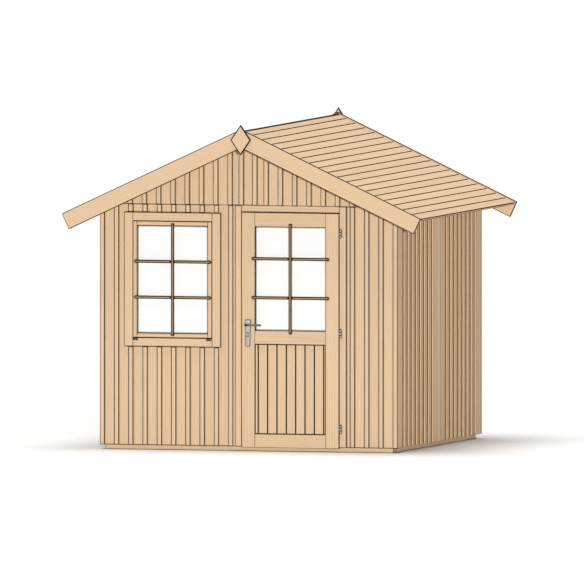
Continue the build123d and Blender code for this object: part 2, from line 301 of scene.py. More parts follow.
@dataclass(frozen=True)
class OpalGlazing:
    """Opal acrylic sheet: white, even and glossy, with slight waves, and a dark seal with painted shade
    along its rim.
    """

    name: str = "opal_acrylic"
    colour: str = "#FDFDFC"
    seal_and_shade: str = "#2A1E12"
    seal_and_shade_mm: float = 14.0
    wave_mm: float = 140.0
    wave_depth_mm: float = 1.5

    def build(self) -> Material:
        """Make the material.

        Returns:
            A glossy white material.
        """
        material, add = new_material(self.name)
        place = add("TexCoord").outputs["Object"]
        wave_scale = 1 / (self.wave_mm * MM)
        waves = add("TexNoise", {"Vector": place, "Scale": wave_scale, "Detail": 1.0})
        relief = add("Bump", {"Strength": 0.15, "Distance": self.wave_depth_mm * MM, "Height": waves})
        # A dark seal and painted shade along the rim: ambient occlusion darkens the sheet where the sash
        # hems it in.
        light = add("AmbientOcclusion", {"Distance": self.seal_and_shade_mm * MM}, samples=SHADE_SAMPLES).outputs["AO"]
        opened = {"Value": light, "From Min": 0.5, "From Max": 0.95, "To Min": 1.4, "To Max": 0.0}
        sealed_and_shaded = add("MapRange", opened)
        parts = {"Factor": sealed_and_shaded, FIRST: linear(self.colour), SECOND: linear(self.seal_and_shade)}
        colour = add("Mix", parts, data_type="RGBA").outputs[MIXED]
        gloss = add("MapRange", {"Value": waves, "To Min": 0.06, "To Max": 0.14})
        look = {"Base Color": colour, "IOR": 1.49, "Roughness": gloss, "Normal": relief}
        shader = add("BsdfPrincipled", look)
        add("OutputMaterial", {"Surface": shader})
        return material


@dataclass(frozen=True)
class SatinSteel:
    """Brushed stainless steel: light grey, with fine upright lines that soften its gloss, and edges painted
    dark as shade.
    """

    name: str = "brushed_stainless_steel"
    bright: str = "#B4B3B1"
    dull: str = "#9E9D9B"
    # Colour of the painted shade on edges, bands and keyways, and of darkened faces.
    dark_tone: str = "#1C1A18"
    edge_shade_share: float = 0.96
    line_mm: float = 1.5
    line_length_mm: float = 60.0

    def build(self) -> Material:
        """Make the material.

        Returns:
            A brushed metal.
        """
        material, add = new_material(self.name)
        place = add("TexCoord").outputs["Object"]
        stretch = (1.0, 1.0, self.line_mm / self.line_length_mm)
        lines = add("Mapping", {"Vector": place, "Scale": stretch})
        line_scale = 1 / (self.line_mm * MM)
        brushed = add("TexNoise", {"Vector": lines, "Scale": line_scale, "Detail": 3.0})
        metals = {"Factor": brushed, FIRST: linear(self.bright), SECOND: linear(self.dull)}
        colour = add("Mix", metals, data_type="RGBA").outputs[MIXED]
        rough = add("MapRange", {"Value": brushed, "To Min": 0.5, "To Max": 0.65})
        # Eased edges are painted dark, as shade.
        edge = add("Attribute", attribute_name=EDGE).outputs["Fac"]
        edge_shade = add("Math", {0: edge, 1: self.edge_shade_share}, operation="MULTIPLY")
        shadings = {"Factor": edge_shade, FIRST: colour, SECOND: linear(self.dark_tone)}
        with_shade = add("Mix", shadings, data_type="RGBA").outputs[MIXED]
        shader = add("BsdfPrincipled", {"Base Color": with_shade, "Metallic": 1.0, "Roughness": rough})
        add("OutputMaterial", {"Surface": shader})
        return material


def seen_directly(add: Callable[..., Node]) -> Node:
    """Tell rays that show a surface from rays that only gather its light.

    Args:
        add: Function that adds nodes to a material or a world.

    Returns:
        A node that gives 1 for camera, glossy and transmission rays, and 0 for others.
    """
    path = add("LightPath").outputs
    rays = {0: path["Is Glossy Ray"], 1: path["Is Transmission Ray"]}
    mirrored = add("Math", rays, operation="MAXIMUM")
    return add("Math", {0: path["Is Camera Ray"], 1: mirrored}, operation="MAXIMUM")


@dataclass(frozen=True)
class PaleFloor:
    """Matt floor that looks white, keeps the shed's shadow and throws little light back."""

    name: str = "matt_white_floor"
    seen: str = "#FFFFFF"
    dim: str = "#B4B4B2"

    def build(self) -> Material:
        """Make the material.

        Returns:
            A matt material.
        """
        material, add = new_material(self.name)
        tones = {"Factor": seen_directly(add), FIRST: linear(self.dim), SECOND: linear(self.seen)}
        colour = add("Mix", tones, data_type="RGBA").outputs[MIXED]
        shader = add("BsdfDiffuse", {"Color": colour})
        add("OutputMaterial", {"Surface": shader})
        return material


class RowTree:
    """Geometry Nodes tree that lays a row of like boards and trims it to its place."""

    SOCKETS = dict.fromkeys(("Start", "Step", "Size", "Low", "High"), "Vector") | {
        "Turn": "Rotation",
        "Count": "Int",
        "Ridge": "Float",
        "Slope": "Float",
        "Finish": "Material",
    }

    def __init__(self) -> None:
        """Make the tree: its inputs, the row of boards, and the cuts that trim them."""
        self.tree = bpy.data.node_groups.new("board_row", "GeometryNodeTree")
        self.identifiers: dict[str, str] = {}
        for name, kind in self.SOCKETS.items():
            socket = self.tree.interface.new_socket(name, in_out="INPUT", socket_type=f"NodeSocket{kind}")
            self.identifiers[name] = socket.identifier
        self.tree.interface.new_socket("Boards", in_out="OUTPUT", socket_type="NodeSocketGeometry")
        add = partial(add_node, self.tree, SHADER)
        lay = partial(add_node, self.tree, GEOMETRY)
        given = add_node(self.tree, GROUP, "Input").outputs
        # The points along the middle of a board let its top follow both slopes of the roof.
        board = lay("MeshCube", {"Size": given["Size"], "Vertices X": 3})
        steps = {"Count": given["Count"], "Start Location": given["Start"], "Offset": given["Step"]}
        line = lay("MeshLine", steps, mode="OFFSET")
        laid = lay("InstanceOnPoints", {"Points": line, "Instance": board, "Rotation": given["Turn"]})
        boards = lay("RealizeInstances", {"Geometry": laid})
        # The row is cut back to a box, and its tops to the slope of the roof.
        raised = add("VectorMath", {0: lay("InputPosition"), 1: given["Low"]}, operation="MAXIMUM")
        boxed = add("VectorMath", {0: raised, 1: given["High"]}, operation="MINIMUM")
        parts = add("SeparateXYZ", {"Vector": boxed}).outputs
        aside = add("Math", {0: parts["X"]}, operation="ABSOLUTE")
        fall = add("Math", {0: aside, 1: given["Slope"]}, operation="MULTIPLY")
        roof = add("Math", {0: given["Ridge"], 1: fall}, operation="SUBTRACT")
        top = add("Math", {0: parts["Z"], 1: roof}, operation="MINIMUM")
        cut = add("CombineXYZ", {"X": parts["X"], "Y": parts["Y"], "Z": top})
        trimmed = lay("SetPosition", {"Geometry": boards, "Position": cut})
        finished = lay("SetMaterial", {"Geometry": trimmed, "Material": given["Finish"]})
        add_node(self.tree, GROUP, "Output", {"Boards": finished})


@dataclass
class BoardRow:
    """A row of like boards, side by side, each as wide, thick and long as its size says."""

    start: Vector
    step: Vector
    count: int
    size: Vector
    turn: Matrix = Matrix.Identity(3)
    low: Vector = Vector((-FAR, -FAR, -FAR))
    high: Vector = Vector((FAR, FAR, FAR))
    ridge: float = FAR
    slope: float = 0.0

    def mesh(self, tree: RowTree, finish: Material) -> Mesh:
        """Run the tree for this row.

        Args:
            tree: Geometry Nodes tree that lays a row.
            finish: Material of the boards.

        Returns:
            The row as a plain mesh.
        """
        carrier = place_object("row_carrier", bpy.data.meshes.new("row_carrier"))
        modifier = carrier.modifiers.new("row", "NODES")
        modifier.node_group = tree.tree
        values = {**vars(self), "turn": self.turn.to_euler(), "finish": finish}
        for name, identifier in tree.identifiers.items():
            modifier[identifier] = values[name.lower()]
        shown = carrier.evaluated_get(bpy.context.evaluated_depsgraph_get())
        result = bpy.data.meshes.new_from_object(shown)
        carrier.modifiers.remove(modifier)
        bpy.data.objects.remove(carrier)
        return result


class Workshop:
    """Frame, finishes and tools that every sub-assembly shares."""

    def __init__(self) -> None:
        """Load the frame, make the finishes and measure the roof."""
        self.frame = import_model()
        self.tree = RowTree()
        finishes = {Slot.WOOD: PlanedSpruce(), Slot.GLAZING: OpalGlazing(), Slot.STEEL: SatinSteel()}
        self.finishes = {slot: finish.build() for slot, finish in finishes.items()}
        self.chance = random.Random(SEED)
        points = self.corners("roof_right")
        eave = max(points, key=lambda point: point.x)
        self.ridge_top = max(point.z for point in points)
        self.roof_reach = eave.x
        self.slope = (self.ridge_top - eave.z) / eave.x
        self.pitch = math.atan(self.slope)
        low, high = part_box("right_wall")
        self.middle = (low.y + high.y) / 2
        self.ridge_under = high.z + low.x * self.slope

    def corners(self, node: str) -> list[Vector]:
        """Give the corners of a node's solids."""
        return [vertex.co for vertex in self.frame["nodes"][node].data.vertices]

    def fit_timbers(
        self,
        name: str,
        nodes: dict[str, Grain],
        ease: float = EASE,
        butted: str = "",
        body: Body = Body.SHED,
        **look: float,
    ) -> None:
        """Make one wooden piece out of copies of nodes, and hang it on its body.

        Args:
            name: Name of the piece.
            nodes: Name of each node, with the way that its grain runs.
            ease: Width taken off each edge.
            butted: Node whose ends stay square against other timbers.
            body: Body that it rides on.
            **look: Reach of the pile's painted shade, and its share of painted shade on faces towards +X.
        """
        timbers = Pile(self, **look)
        for node, grain in nodes.items():
            timbers.add_node(node, grain, Easing(ease, node == butted))
        timbers.fit(name, *nodes, body=body)


@dataclass(frozen=True)
class Band:
    """Strip across a piece that is painted dark as a line of shade, such as the end of a knuckle."""

    axis: int
    level: float
    reach: float

    def mark(self, source: BMesh) -> None:
        """Cut the strip out of the faces and mark it.

        Args:
            source: Solids that the strip runs across.
        """
        marks = source.faces.layers.float[EDGE]
        normal = Vector((0, 0, 0))
        normal[self.axis] = 1
        for side in (-1, 1):
            everything = source.verts[:] + source.edges[:] + source.faces[:]
            cut = normal * (self.level + side * self.reach)
            bmesh.ops.bisect_plane(source, geom=everything, plane_co=cut, plane_no=normal)
        for face in source.faces:
            if abs(face.calc_center_median()[self.axis] - self.level) < self.reach:
                face[marks] = FULL_SHADE


@dataclass(frozen=True)
class Easing:
    """Width taken off the edges of solids, the edges that stay sharp, and strips that are painted dark as
    shade.
    """

    width: float = EASE
    # Whether the ends of timbers stay square against others.
    butted: bool = False
    # Places along X whose edges stay sharp, such as saw cuts within a board.
    closed: tuple[float, ...] = ()
    bands: tuple[Band, ...] = ()


@dataclass
class Pile:
    """Boards or fittings gathered into one mesh, each with its own grain and its edges marked."""

    shop: Workshop
    slot: Slot = Slot.WOOD
    # How dark the flat faces are painted, as a share.
    face_darkening: float = 0.0
    # Distance that painted shade spreads from a corner.
    damp: float = SHADE_REACH
    # Share of painted shade on the faces towards +X. Unless it is 0, their edges stay sharp.
    lee: float = 0.0

    def __post_init__(self) -> None:
        """Start empty."""
        self.finish = self.shop.finishes[self.slot]
        self.mesh = bmesh.new()
        self.grain = self.mesh.verts.layers.float_vector.new(GRAIN)
        self.board = self.mesh.verts.layers.float.new(BOARD)
        self.reach = self.mesh.verts.layers.float.new(PAINTED_SHADE)
        self.edge = self.mesh.faces.layers.float.new(EDGE)

    def add_row(self, row: BoardRow, easing: Easing = Easing()) -> None:
        """Lay a row of boards.

        Args:
            row: Row to lay.
            easing: How the boards' edges are eased.
        """
        mesh = row.mesh(self.shop.tree, self.finish)
        source = bmesh.new()
        source.from_mesh(mesh)
        bpy.data.meshes.remove(mesh)
        self.add_sharp(source, row.turn.transposed(), easing)

    def add_node(self, node: str, grain: Grain, easing: Easing) -> None:
        """Add a copy of a node's solids.

        Args:
            node: Name of the node.
            grain: Way that the grain runs.
            easing: How the solids' edges are eased.
        """
        source = bmesh.new()
        source.from_mesh(self.shop.frame["nodes"][node].data)
        bmesh.ops.remove_doubles(source, verts=source.verts, dist=WELD)
        self.add_sharp(source, grain.axes(self.shop.pitch), easing)

    def add_sharp(self, source: BMesh, axes: Matrix, easing: Easing) -> None:
        """Add loose solids with their sharp edges eased.

        Args:
            source: Solids to add, which are freed.
            axes: Axes of the timbers, as their grain gives them.
            easing: How the solids' edges are eased.
        """
        bmesh.ops.dissolve_degenerate(source, dist=WELD, edges=source.edges)
        bmesh.ops.dissolve_limit(source, angle_limit=FLAT_ANGLE, verts=source.verts, edges=source.edges)
        # Short edges are those of bores, which stay crisp.
        long = [edge for edge in source.edges if edge.calc_length() > SHORT_EDGE_SHARE * easing.width]
        sharp = [edge for edge in long if edge.calc_face_angle(0) > SHARP_ANGLE]
        for place in easing.closed:
            sharp = [edge for edge in sharp if any(abs(end.co.x - place) > WELD for end in edge.verts)]
        # Faces towards +X that are painted in shade keep their edges sharp.
        if self.lee:
            source.normal_update()
            sharp = [edge for edge in sharp if all(face.normal.x < FACING for face in edge.link_faces)]
        if easing.butted:
            spans = [(axes @ (edge.verts[1].co - edge.verts[0].co)).normalized() for edge in sharp]
            sharp = [edge for edge, span in zip(sharp, spans) if abs(span.z) > FACING]
        self.add_eased(source, sharp, axes, easing)

    def add_eased(self, source: BMesh, edges: list[BMEdge], axes: Matrix, easing: Easing) -> None:
        """Ease some edges of loose solids, and add each solid as a timber of its own.

        Args:
            source: Solids to add, which are freed.
            edges: Edges to ease.
            axes: Axes of the timbers, as their grain gives them.
            easing: How wide the edges are eased, and the strips that are painted dark as shade.
        """
        shape = {"segments": EASE_STEPS, "profile": ROUND_PROFILE, "affect": "EDGES", "clamp_overlap": True}
        eased = bmesh.ops.bevel(source, geom=edges, offset=easing.width, **shape)
        source.faces.index_update()
        edge_shade = {face.index for face in eased["faces"]}
        marks = source.faces.layers.float.new(EDGE)
        source.normal_update()
        # Chamfers are painted in full shade, faces towards +X take their share of side shade, and other
        # faces their share of darkening.
        for face in source.faces:
            flat = self.lee if self.lee and face.normal.x > FACING else self.face_darkening
            face[marks] = FULL_SHADE if face.index in edge_shade else flat
        for band in easing.bands:
            band.mark(source)
        source.verts.index_update()
        source.faces.index_update()
        reached = set()
        for first in source.verts:
            if first.index in reached:
                continue
            reached.add(first.index)
            island = [first]
            # The list grows while it is walked, until the whole solid is in it.
            for corner in island:
                for edge in corner.link_edges:
                    other = edge.other_vert(corner)
                    if other.index not in reached:
                        reached.add(other.index)
                        island.append(other)
            self.copy_island(island, marks, axes)
        source.free()

    def copy_island(self, island: list[BMVert], marks: BMLayerItem, axes: Matrix) -> None:
        """Copy one solid into the pile.

        Args:
            island: Corners of the solid.
            marks: Layer that says how dark each face is painted.
            axes: Axes of the timber, as its grain gives them.
        """
        centre = sum((corner.co for corner in island), Vector()) / len(island)
        number = self.shop.chance.random()
        copies = {}
        for corner in island:
            copy = self.mesh.verts.new(corner.co)
            copy[self.grain] = axes @ (corner.co - centre)
            copy[self.board] = number
            copy[self.reach] = self.damp
            copies[corner.index] = copy
        faces = {face.index: face for corner in island for face in corner.link_faces}
        for _, face in sorted(faces.items()):
            made = self.mesh.faces.new([copies[corner.index] for corner in face.verts])
            made[self.edge] = face[marks]

    def fit(self, name: str, *nodes: str, body: Body = Body.SHED, smooth: bool = False) -> None:
        """Turn the pile into a piece at the origin, and hang it on its body.

        Args:
            name: Name of the piece.
            *nodes: Nodes that it stands for.
            body: Body that it rides on.
            smooth: Whether its round faces are shaded smooth.
        """
        bmesh.ops.dissolve_degenerate(self.mesh, dist=WELD, edges=self.mesh.edges)
        bmesh.ops.recalc_face_normals(self.mesh, faces=self.mesh.faces)
        mesh = bpy.data.meshes.new(name)
        self.mesh.to_mesh(mesh)
        self.mesh.free()
        mesh.materials.append(self.finish)
        if smooth:
            mesh.shade_smooth()
            mesh.set_sharp_from_angle(angle=SHARP_ANGLE)
        piece = place_object(name, mesh)
        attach(piece, body.value)
        if nodes:
            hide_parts(*nodes)
        LOG.info("%s on %s, %d faces", name, body.value, len(mesh.polygons))


def upright_row(
    low: Vector, high: Vector, joint: float, pitch: float, along_y: bool = False, **cut: float
) -> BoardRow:
    """Fill an upright slab with boards that share one set of joints.

    Args:
        low: Lowest corner of the slab.
        high: Highest corner of the slab.
        joint: Place of any one joint along the wall.
        pitch: Distance between joints.
        along_y: Whether the wall runs along Y and not along X.
        **cut: Ridge and slope that the tops are cut to.

    Returns:
        The row, trimmed to the slab.
    """
    axis = 1 if along_y else 0
    first = math.floor((low[axis] - joint) / pitch + SLIVER_SHARE)
    last = math.ceil((high[axis] - joint) / pitch - SLIVER_SHARE)
    start = (low + high) / 2
    start[axis] = joint + (first + 0.5) * pitch
    step = Vector((0, 0, 0))
    step[axis] = pitch
    edge_low = Vector((-FAR, -FAR, -FAR))
    edge_high = Vector((FAR, FAR, FAR))
    edge_low[axis] = low[axis]
    edge_high[axis] = high[axis]
    size = Vector((pitch, high[1 - axis] - low[1 - axis], high.z - low.z))
    turn = Matrix.Rotation(math.pi / 2, 3, "Z") if along_y else Matrix.Identity(3)
    return BoardRow(start, step, last - first, size, turn, edge_low, edge_high, **cut)


@dataclass
class Base:
    """Sills, joists and floor boards."""

    shop: Workshop
    floor_pitch: float = 106.5 * MM
    ease: float = 4 * MM
    # Reach of the painted shade in the base's corners.
    damp: float = 3 * MM

    def build(self) -> None:
        """Build and dress the base."""
        nodes = {"end_sills": Grain.ACROSS, "side_sills": Grain.DEEP, "floor_joists": Grain.DEEP}
        self.shop.fit_timbers("base_timbers", nodes, self.ease, damp=self.damp)
        low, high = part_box("floor_deck")
        count = round((high.y - low.y) / self.floor_pitch)
        width = (high.y - low.y) / count
        start = (low + high) / 2
        start.y = low.y + width / 2
        size = Vector((width, high.z - low.z, high.x - low.x))
        turn = Matrix(((0, 0, 1), (1, 0, 0), (0, 1, 0)))
        floor = Pile(self.shop)
        floor.add_row(BoardRow(start, Vector((0, width, 0)), count, size, turn))
        floor.fit("floor_boards", "floor_deck")


@dataclass
class Walls:
    """Upright boards of the walls and gables, with battens over their joints."""

    shop: Workshop
    pitch: float = 111.4 * MM
    middle_batten: float = 53 * MM
    batten_width: float = 33 * MM
    side_batten_count: int = 7
    panel_gap: float = 40 * MM
    side_ease: float = 2 * MM
    # Reach of the painted shade on the side battens and, out from the battens, on the side boards.
    side_batten_damp: float = 9 * MM
    side_board_damp: float = 40 * MM
    gable_ease: float = 5 * MM
    gable_batten_ease: float = 4.5 * MM
    # Reach of the painted shade in the corners of the end walls, gables and middle.
    end_damp: float = 9.5 * MM
    middle_damp: float = 5 * MM

    def __post_init__(self) -> None:
        """Find the middle of the right corner's batten, and the cut of the boards under the roof."""
        self.corner_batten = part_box("end_battens")[1].x - self.batten_width / 2
        self.roof_cut = {"ridge": self.shop.ridge_under, "slope": self.shop.slope}

    def build(self) -> None:
        """Build and dress the walls."""
        self.front()
        self.end_boards("back_wall", EASE)
        for side in ("left", "right"):
            self.side(side)
            covers = {f"{side}_cover_boards": Grain.UPRIGHT}
            self.shop.fit_timbers(f"{side}_covers", covers, self.side_ease)
        for gable in ("front_gable", "back_gable"):
            self.end_boards(gable, self.gable_ease, **self.roof_cut)
        # Battens get painted shade in their corners, and at the ends and gables on their faces towards +X.
        for place, ease, look in (
            ("end", EASE, {"damp": self.end_damp, "lee": FULL_SHADE}),
            ("gable", self.gable_batten_ease, {"damp": self.end_damp, "lee": FULL_SHADE}),
            ("side", self.side_ease, {"damp": self.side_batten_damp}),
        ):
            nodes = {f"{place}_battens": Grain.UPRIGHT}
            self.shop.fit_timbers(f"{place}_batten_strips", nodes, ease, **look)

    def front(self) -> None:
        """Lay the boards of the front wall beside, under and over its openings."""
        corner = self.corner_batten
        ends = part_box("front_wall_left")[0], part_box("front_wall_right")[1]
        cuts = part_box("front_wall_below_window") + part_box("front_wall_over_door") + ends
        easing = Easing(closed=tuple(cut.x for cut in cuts))
        # Slabs to the left of the door share the joints of the left corner, and others those of the right.
        joints = {"left": -corner, "below_window": -corner, "above_window": -corner, "over_door": corner}
        pieces = (
            ("front_wall_boards", self.end_damp, joints | {"right": corner}),
            ("middle_wall_boards", self.middle_damp, {"middle": -corner}),
        )
        # Each piece is painted with shade in its corners, out to its reach.
        for piece, damp, slabs in pieces:
            wall = Pile(self.shop, damp=damp)
            nodes = [f"front_wall_{slab}" for slab in slabs]
            for node, joint in zip(nodes, slabs.values()):
                wall.add_row(upright_row(*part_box(node), joint, self.pitch), easing)
            wall.fit(piece, *nodes)

    def end_boards(self, node: str, ease: float, **cut: float) -> None:
        """Lay the boards of a whole end wall or gable, the same to both sides of its middle.

        Args:
            node: Name of the wall's node.
            ease: Width taken off each edge.
            **cut: Ridge and slope that the tops are cut to.
        """
        low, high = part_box(node)
        near = self.middle_batten
        step = self.pitch
        far = self.corner_batten - step * round((self.corner_batten - near) / step - 1)
        # Start, end, joint and pitch of each run of boards.
        spans = (
            (-high.x, -far, -far, step),
            (-far, -near, -far, far - near),
            (-near, near, -near, 2 * near),
            (near, far, near, far - near),
            (far, high.x, far, step),
        )
        # The boards are painted with shade in their corners.
        wall = Pile(self.shop, damp=self.end_damp)
        for start, end, joint, pitch in spans:
            corners = Vector((start, low.y, low.z)), Vector((end, high.y, high.z))
            wall.add_row(upright_row(*corners, joint, pitch, **cut), Easing(ease, closed=(low.x, high.x)))
        wall.fit(f"{node}_boards", node)

    def side(self, side: str) -> None:
        """Lay the boards of a side wall's two panels.

        Args:
            side: Either left or right.
        """
        low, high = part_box(f"{side}_wall")
        middle = self.shop.middle
        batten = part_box("side_battens")[0].y + self.batten_width / 2
        centre = (low.y + middle - self.panel_gap / 2) / 2
        pitch = (centre - batten) * 2 / (self.side_batten_count - 1)
        # Painted shade darkens the boards out from the battens.
        wall = Pile(self.shop, damp=self.side_board_damp)
        for start, end, joint in (
            (low, Vector((high.x, middle, high.z)), batten),
            (Vector((low.x, middle, low.z)), high, 2 * middle - batten),
        ):
            wall.add_row(upright_row(start, end, joint, pitch, along_y=True, **self.roof_cut))
        wall.fit(f"{side}_wall_boards", f"{side}_wall")


@dataclass
class Framing:
    """Studs, plates and rafters behind the boards."""

    shop: Workshop

    def build(self) -> None:
        """Build and dress the framing."""
        nodes = {
            "wall_studs": Grain.UPRIGHT,
            "front_studs": Grain.UPRIGHT,
            "end_plates": Grain.ACROSS,
            "eave_plates": Grain.DEEP,
            "left_rafters": Grain.LEFT_SLOPE,
            "right_rafters": Grain.RIGHT_SLOPE,
        }
        self.shop.fit_timbers("framing_timbers", nodes)


@dataclass
class Roof:
    """Roof boards, bargeboards and finials."""

    shop: Workshop
    plank_count: int = 19
    barge_ease: float = 6.5 * MM
    # Reach of the painted shade on the bargeboards.
    barge_damp: float = 3 * MM
    diamond_ease: float = 11 * MM
    ridge_band: float = 22 * MM
    thickness: float = 20 * MM

    def build(self) -> None:
        """Build and dress the roof."""
        fit = self.shop.fit_timbers
        self.slope("left", -1)
        self.slope("right", 1)
        for end in ("front", "back"):
            barges = {f"{end}_left_barge": Grain.LEFT_SLOPE, f"{end}_right_barge": Grain.RIGHT_SLOPE}
            fit(f"{end}_bargeboards", barges, self.barge_ease, damp=self.barge_damp)
            fit(f"{end}_diamond", {f"{end}_finial": Grain.UPRIGHT}, self.diamond_ease)

    def slope(self, name: str, side: int) -> None:
        """Lay the boards of one slope, from the ridge to the eave.

        Args:
            name: Either left or right.
            side: Sign of the slope along X.
        """
        shop = self.shop
        low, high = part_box(f"roof_{name}")
        run = math.cos(shop.pitch)
        drop = math.sin(shop.pitch)
        down = Vector((side * run, 0, -drop))
        out = Vector((side * drop, 0, run))
        along = Vector((0, 1, 0))
        width = shop.roof_reach / run / self.plank_count
        ridge = Vector((0, (low.y + high.y) / 2, shop.ridge_top))
        start = ridge + down * width / 2 - out * self.thickness / 2
        size = Vector((width, self.thickness, high.y - low.y))
        turn = Matrix((down, along.cross(down), along)).transposed()
        edge = {"low": Vector((0, -FAR, -FAR))} if side > 0 else {"high": Vector((0, FAR, FAR))}
        row = BoardRow(start, down * width, self.plank_count, size, turn, **edge)
        planks = Pile(shop)
        # The boards are painted dark along the ridge, as a line of shade.
        planks.add_row(row, Easing(bands=(Band(0, 0.0, self.ridge_band),)))
        planks.fit(f"{name}_roof_boards", f"roof_{name}")


@dataclass
class Strip:
    """Strip that lies on an upright face, with round or square ends and a round outer edge."""

    shop: Workshop
    width: float = 24 * MM
    depth: float = 10 * MM
    ease: float = 9 * MM
    end_steps: int = 8

    def outline(self, length: float, round_ends: int) -> list[tuple[float, float]]:
        """Draw the strip seen from the front, along X.

        Args:
            length: Length over its ends.
            round_ends: How many of its ends are round, the far one first.

        Returns:
            Points of its outline, in order.
        """
        radius = self.width / 2
        points = []
        for sign, is_round in ((1, round_ends > 0), (-1, round_ends > 1)):
            hub = length / 2 - radius if is_round else length / 2
            for step in range(self.end_steps + 1) if is_round else (0, self.end_steps):
                angle = math.pi * (step / self.end_steps - 0.5)
                reach = hub + radius * math.cos(angle)
                points.append((sign * reach, sign * radius * math.sin(angle)))
        return points

    def stand(self, pile: Pile, centre: Vector, length: float, round_ends: int, out: int = -1) -> None:
        """Add the strip upright.

        Args:
            pile: Mesh that takes the strip.
            centre: Its middle, on the face that it lies on.
            length: Length over its ends.
            round_ends: How many of its ends are round, the upper one first.
            out: Sign along Y of the way that it faces.
        """
        points = [centre + Vector((y, 0, x)) for x, y in self.outline(length, round_ends)]
        self.add(pile, points, Grain.UPRIGHT, out)

    def add(self, pile: Pile, points: list[Vector], grain: Grain, out: int = -1) -> None:
        """Give an outline its depth and round its outer edge.

        Args:
            pile: Mesh that takes the strip.
            points: Outline on the face that the strip lies on.
            grain: Way that its grain runs.
            out: Sign along Y of the way that the strip faces.
        """
        strip = bmesh.new()
        back = strip.faces.new([strip.verts.new(point) for point in points])
        raised = bmesh.ops.extrude_face_region(strip, geom=[back], use_keep_orig=True)
        front = [item for item in raised["geom"] if isinstance(item, BMVert)]
        bmesh.ops.translate(strip, verts=front, vec=Vector((0, out * self.depth, 0)))
        chosen = set(front)
        rim = [edge for edge in strip.edges if edge.verts[0] in chosen and edge.verts[1] in chosen]
        pile.add_eased(strip, rim, grain.axes(self.shop.pitch), Easing(self.ease))


@dataclass
class Bars(Strip):
    """A pane with round-ended glazing bars laid over it."""

    side_lap: float = 26 * MM
    end_lap: float = 19 * MM
    # Share of painted shade on the bars' flat faces, as on round bars.
    face_darkening: float = 0.35
    pane_ease: float = 0.5 * MM

    def glaze(self, name: str, stiles: str, body: Body, shares: tuple[float, float], shift: float) -> None:
        """Fit the bars and the pane of the window or the door.

        Args:
            name: Either window or door.
            stiles: Node whose front the bars lie on.
            body: Body that they ride on.
            shares: Heights of the level bars, as shares of the pane's.
            shift: Distance along X from the pane's middle to that of the bars.
        """
        low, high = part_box(f"{name}_pane")
        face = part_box(stiles)[0].y
        middle = (low.x + high.x) / 2 + shift
        bars = Pile(self.shop, face_darkening=self.face_darkening)
        centre = Vector((middle, face, (low.z + high.z) / 2))
        self.stand(bars, centre, high.z - low.z + 2 * self.end_lap, 0)
        reach = (high.x - low.x) / 2 + self.side_lap - self.width / 2
        level = self.outline(reach, 1)
        for share in shares:
            for side in (-1, 1):
                height = low.z + share * (high.z - low.z)
                centre = Vector((middle + side * (self.width + reach) / 2, face, height))
                self.add(bars, [centre + Vector((side * x, 0, y)) for x, y in level], Grain.ACROSS)
        bars.fit(f"{name}_bars", body=body, smooth=True)
        pane = Pile(self.shop, Slot.GLAZING)
        pane.add_node(f"{name}_pane", Grain.UPRIGHT, Easing(self.pane_ease))
        pane.fit(f"{name}_sheet", f"{name}_pane", body=body)


@dataclass
class Window:
    """Trimmed window with a glazed sash."""

    shop: Workshop
    ease: float = 4.5 * MM
    bar_shares: tuple[float, float] = (1 / 3, 2 / 3)
    bar_shift: float = 2.5 * MM
    hinge_inset: float = 6 * MM
    hinge_length: float = 34 * MM
    hinge_drop: float = 12 * MM
    knuckle_length: float = 13 * MM
    knuckle_radius: float = 6 * MM
    pin_radius: float = 2.5 * MM
    rounding: float = 1 * MM
    hinge_sides: int = 16
    steel_darkening: float = 0.9

    def build(self) -> None:
        """Build and dress the window."""
        trim = {"window_trim_sides": Grain.UPRIGHT, "window_trim_rails": Grain.ACROSS}
        # The trim's faces towards +X are painted in shade.
        self.shop.fit_timbers("window_trim", trim, self.ease, lee=FULL_SHADE)
        sash = {"window_sash_stiles": Grain.UPRIGHT, "window_sash_rails": Grain.ACROSS}
        self.shop.fit_timbers("window_sash", sash, self.ease, "window_sash_rails")
        Bars(self.shop).glaze("window", "window_sash_stiles", Body.SHED, self.bar_shares, self.bar_shift)
        self.hinges()

    def hinges(self) -> None:
        """Put two small hinges in front of the trim under the sash."""
        low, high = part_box("window_sash_stiles")
        middle = self.hinge_length / 2
        steps = [
            (-middle, self.knuckle_radius - self.rounding),
            (self.rounding - middle, self.knuckle_radius),
            (self.knuckle_length - self.rounding - middle, self.knuckle_radius),
            (self.knuckle_length - middle, self.knuckle_radius - self.rounding),
            (self.knuckle_length - middle, self.pin_radius),
        ]
        profile = steps + [(-along, radius) for along, radius in reversed(steps)]
        axis = Vector((0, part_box("window_trim_rails")[0].y - self.knuckle_radius, low.z - self.hinge_drop))
        fittings = Pile(self.shop, Slot.STEEL, self.steel_darkening)
        for place in (low.x + self.hinge_inset + middle, high.x - self.hinge_inset - middle):
            self.turn(fittings, axis + Vector((place, 0, 0)), profile)
        fittings.fit("sash_hinges", smooth=True)

    def turn(self, pile: Pile, start: Vector, profile: list[tuple[float, float]]) -> None:
        """Add a fitting that is turned about an axis along X.

        Args:
            pile: Mesh that takes the fitting.
            start: Point on the axis that the lengths count from.
            profile: Steps of length and radius.
        """
        solid = bmesh.new()
        rings = []
        angles = [2 * math.pi * side / self.hinge_sides for side in range(self.hinge_sides)]
        for along, radius in profile:
            spokes = [Vector((along, radius * math.cos(a), radius * math.sin(a))) for a in angles]
            rings.append([solid.verts.new(start + spoke) for spoke in spokes])
        for near, far in zip(rings, rings[1:]):
            for side in range(self.hinge_sides):
                following = (side + 1) % self.hinge_sides
                solid.faces.new((near[side], near[following], far[following], far[side]))
        solid.faces.new(rings[0])
        solid.faces.new(rings[-1])
        pile.add_eased(solid, [], Grain.ACROSS.axes(0.0), Easing(0.0))


